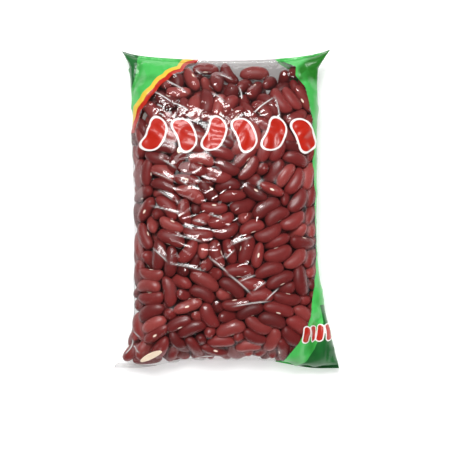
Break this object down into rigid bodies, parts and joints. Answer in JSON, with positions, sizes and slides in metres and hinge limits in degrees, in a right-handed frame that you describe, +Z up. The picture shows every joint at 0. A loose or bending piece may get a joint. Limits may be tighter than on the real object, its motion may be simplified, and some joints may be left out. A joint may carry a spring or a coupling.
{
  "type": "bag of dried beans",
  "caption": "Clear film pillow bag of dried red kidney beans with printed corners and pinched ears at its sealed ends, lying on its back.",
  "frame": {"origin": "centre of the bag's box, on the table under its back", "axes": "+X to the right across the printed face, +Y from the bottom seal to the top seal, +Z up out of the printed face"},
  "size_m": [0.1416, 0.199, 0.0405],
  "materials": {
    "clear_film": "clear glossy film over dark red beans",
    "beans": "satin dark red seed coat",
    "split_beans": "dull cream",
    "green_print": "glossy opaque bright green ink under film",
    "dark_green_print": "glossy opaque green ink, seen turned away at the folded corners",
    "yellow_print": "glossy opaque yellow ink under film",
    "red_print": "glossy opaque red ink under film",
    "white_print": "glossy opaque white ink under film"
  },
  "bodies": {
    "root": {"filled_bag": "clear_film"}
  },
  "joints": []
}
